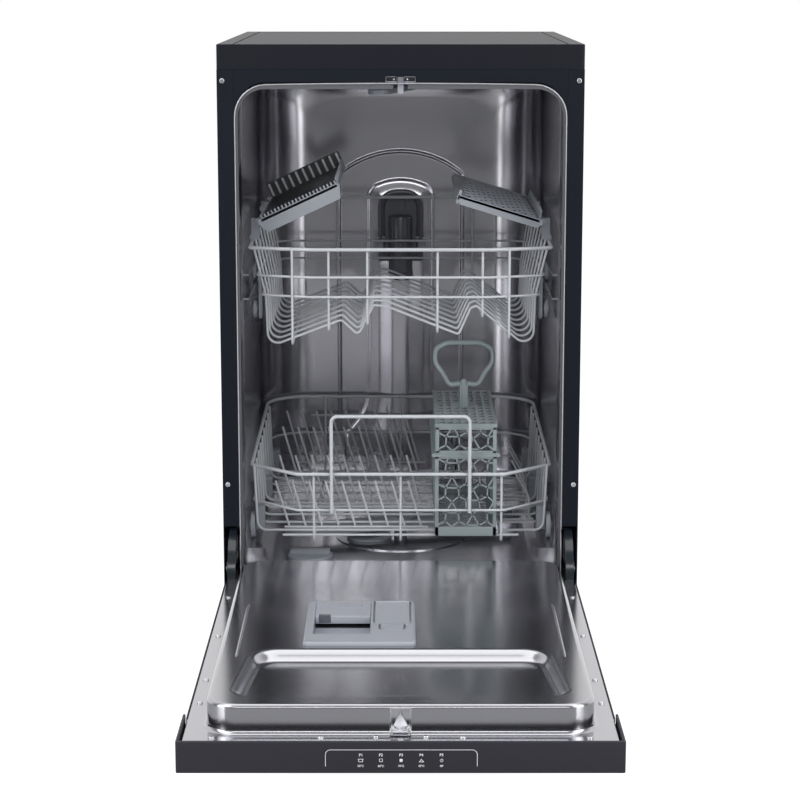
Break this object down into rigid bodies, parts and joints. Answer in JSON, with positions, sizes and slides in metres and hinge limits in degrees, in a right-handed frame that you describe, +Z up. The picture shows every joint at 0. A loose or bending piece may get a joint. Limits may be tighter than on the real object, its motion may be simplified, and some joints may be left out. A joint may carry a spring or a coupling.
{
  "type": "freestanding dishwasher",
  "caption": "Slimline freestanding dishwasher with a dark casing, its drop-down door open, wheeled upper and lower wire baskets, tilting cup shelves, a cutlery basket and a detergent dispenser.",
  "frame": {"origin": "centre of the outer box of the open machine, on the floor", "axes": "+Z up, +Y towards the machine's back, +X to the right seen from the front"},
  "size_m": [0.45, 1.173, 0.85],
  "materials": {
    "casing": "semi-gloss dark paint",
    "laminate": "dark laminate on chipboard",
    "dark_plastic": "fine-grained moulded plastic",
    "fascia_plastic": "satin dark plastic",
    "steel": "satin stainless steel",
    "zinc": "galvanised sheet",
    "screw": "bright",
    "rubber": "matt",
    "black_plastic": "matt",
    "grey_plastic": "matt mid grey",
    "cutlery_plastic": "matt grey-green",
    "pale_plastic": "satin pale grey",
    "wire": "grey coated wire",
    "pump": "matt",
    "brass_white": "matt off-white",
    "copper_board": "green circuit board"
  },
  "bodies": {
    "cabinet": {"worktop_frame": "dark_plastic", "worktop_board": "laminate", "left_side_panel": "casing", "right_side_panel": "casing", "panel_screws": "screw", "rear_panel": "zinc", "base_tray": "black_plastic", "plinth": "casing", "top_rail": "casing", "latch_housing": "pale_plastic", "tub_shell": "steel", "tub_floor": "steel", "tub_seal": "rubber", "sump": "grey_plastic", "filter_plate": "steel", "circulation_pump": "pump", "drain_pump": "pump", "inlet_valve": "brass_white", "cord_gland": "black_plastic", "air_break": "brass_white", "rear_feed_pipe": "grey_plastic", "upper_rails": "steel", "hinge_mounts": "zinc"},
    "door": {"door_outer_panel": "casing", "door_inner_liner": "steel", "door_fascia": "fascia_plastic", "control_board": "copper_board", "door_screws": "screw", "door_striker": "steel", "hinge_arms": "black_plastic", "dispenser_body": "pale_plastic"},
    "upper_basket": {"upper_basket_frame": "wire", "upper_basket_fittings": "grey_plastic"},
    "lower_basket": {"lower_basket_frame": "wire", "lower_plate_rack": "wire", "lower_wheel_carriers": "grey_plastic", "cutlery_body": "cutlery_plastic", "cutlery_top": "cutlery_plastic", "cutlery_handle": "cutlery_plastic"},
    "latch_hook": {"latch_hook": "pale_plastic"},
    "micro_filter": {"micro_filter": "grey_plastic"},
    "salt_cap": {"salt_cap": "grey_plastic"},
    "lower_spray_arm": {"lower_spray_arm": "grey_plastic"},
    "top_spray_arm": {"top_spray_arm": "grey_plastic"},
    "front_left_foot": {"front_left_foot": "black_plastic"},
    "front_right_foot": {"front_right_foot": "black_plastic"},
    "rear_feet": {"rear_feet": "black_plastic"},
    "detergent_lid": {"detergent_lid": "pale_plastic"},
    "rinse_aid_flap": {"rinse_aid_flap": "pale_plastic"},
    "power_button": {"power_button": "pale_plastic"},
    "program_button": {"program_button": "pale_plastic"},
    "cup_shelf_left": {"cup_shelf_left": "grey_plastic"},
    "cup_shelf_right": {"cup_shelf_right": "grey_plastic"},
    "upper_wheels_front_high": {"upper_wheels_front_high": "grey_plastic"},
    "upper_wheels_front_low": {"upper_wheels_front_low": "grey_plastic"},
    "upper_wheels_rear_high": {"upper_wheels_rear_high": "grey_plastic"},
    "upper_wheels_rear_low": {"upper_wheels_rear_low": "grey_plastic"},
    "lower_wheels_front": {"lower_wheels_front": "grey_plastic"},
    "lower_wheels_middle": {"lower_wheels_middle": "grey_plastic"},
    "lower_wheels_rear": {"lower_wheels_rear": "grey_plastic"}
  },
  "joints": [
    {"name": "door_hinge", "type": "hinge", "parent": "cabinet", "child": "door", "pos_m": [0, 0.0385, 0.191], "axis": [1, 0, 0], "range_deg": [-90, 0]},
    {"name": "latch_hook_hinge", "type": "hinge", "parent": "cabinet", "child": "latch_hook", "pos_m": [0, 0.052, 0.8076], "axis": [1, 0, 0], "range_deg": [-10, 10], "stiffness_Nm_per_rad": 0.5},
    {"name": "upper_basket_slide", "type": "slide", "parent": "cabinet", "child": "upper_basket", "axis": [0, -1, 0], "range_m": [0, 0.32]},
    {"name": "lower_basket_slide", "type": "slide", "parent": "cabinet", "child": "lower_basket", "axis": [0, -1, 0], "range_m": [0, 0.296]},
    {"name": "upper_wheels_front_high_spin", "type": "hinge", "parent": "upper_basket", "child": "upper_wheels_front_high", "pos_m": [0, 0.2255, 0.549], "axis": [1, 0, 0], "continuous": true},
    {"name": "upper_wheels_front_low_spin", "type": "hinge", "parent": "upper_basket", "child": "upper_wheels_front_low", "pos_m": [0, 0.2255, 0.498], "axis": [1, 0, 0], "continuous": true},
    {"name": "upper_wheels_rear_high_spin", "type": "hinge", "parent": "upper_basket", "child": "upper_wheels_rear_high", "pos_m": [0, 0.4455, 0.549], "axis": [1, 0, 0], "continuous": true},
    {"name": "upper_wheels_rear_low_spin", "type": "hinge", "parent": "upper_basket", "child": "upper_wheels_rear_low", "pos_m": [0, 0.4455, 0.498], "axis": [1, 0, 0], "continuous": true},
    {"name": "lower_wheels_front_spin", "type": "hinge", "parent": "lower_basket", "child": "lower_wheels_front", "pos_m": [0, 0.1265, 0.2268], "axis": [1, 0, 0], "continuous": true},
    {"name": "lower_wheels_middle_spin", "type": "hinge", "parent": "lower_basket", "child": "lower_wheels_middle", "pos_m": [0, 0.2965, 0.2268], "axis": [1, 0, 0], "continuous": true},
    {"name": "lower_wheels_rear_spin", "type": "hinge", "parent": "lower_basket", "child": "lower_wheels_rear", "pos_m": [0, 0.4695, 0.2268], "axis": [1, 0, 0], "continuous": true},
    {"name": "cup_shelf_left_hinge", "type": "hinge", "parent": "upper_basket", "child": "cup_shelf_left", "pos_m": [-0.183, 0.0315, 0.623], "axis": [0, 1, 0], "range_deg": [-35, 20]},
    {"name": "cup_shelf_right_hinge", "type": "hinge", "parent": "upper_basket", "child": "cup_shelf_right", "pos_m": [0.183, 0.0315, 0.623], "axis": [0, 1, 0], "range_deg": [-15, 43]},
    {"name": "lower_spray_arm_spin", "type": "hinge", "parent": "cabinet", "child": "lower_spray_arm", "pos_m": [0, 0.2815, 0.19], "axis": [0, 0, 1], "continuous": true},
    {"name": "top_spray_arm_spin", "type": "hinge", "parent": "cabinet", "child": "top_spray_arm", "pos_m": [0, 0.2915, 0.788], "axis": [0, 0, 1], "continuous": true},
    {"name": "micro_filter_twist", "type": "hinge", "parent": "cabinet", "child": "micro_filter", "pos_m": [-0.043, 0.2665, 0.17], "axis": [0, 0, 1], "range_deg": [0, 90]},
    {"name": "salt_cap_twist", "type": "hinge", "parent": "cabinet", "child": "salt_cap", "pos_m": [-0.12, 0.1615, 0.17], "axis": [0, 0, 1], "range_deg": [0, 180]},
    {"name": "detergent_lid_slide", "type": "slide", "parent": "door", "child": "detergent_lid", "axis": [0, -1, 0], "range_m": [0, 0.056]},
    {"name": "rinse_aid_flap_hinge", "type": "hinge", "parent": "door", "child": "rinse_aid_flap", "pos_m": [0, -0.1908, 0.2129], "axis": [1, 0, 0], "range_deg": [-85, 0]},
    {"name": "power_button_press", "type": "slide", "parent": "door", "child": "power_button", "axis": [0, 0, 1], "range_m": [0, 0.0012], "stiffness_N_per_m": 300},
    {"name": "program_button_press", "type": "slide", "parent": "door", "child": "program_button", "axis": [0, 0, 1], "range_m": [0, 0.0012], "stiffness_N_per_m": 300},
    {"name": "front_left_foot_thread", "type": "slide", "parent": "cabinet", "child": "front_left_foot", "axis": [0, 0, -1], "range_m": [0, 0.02]},
    {"name": "front_right_foot_thread", "type": "slide", "parent": "cabinet", "child": "front_right_foot", "axis": [0, 0, -1], "range_m": [0, 0.02]},
    {"name": "rear_feet_thread", "type": "slide", "parent": "cabinet", "child": "rear_feet", "axis": [0, 0, -1], "range_m": [0, 0.02]}
  ]
}
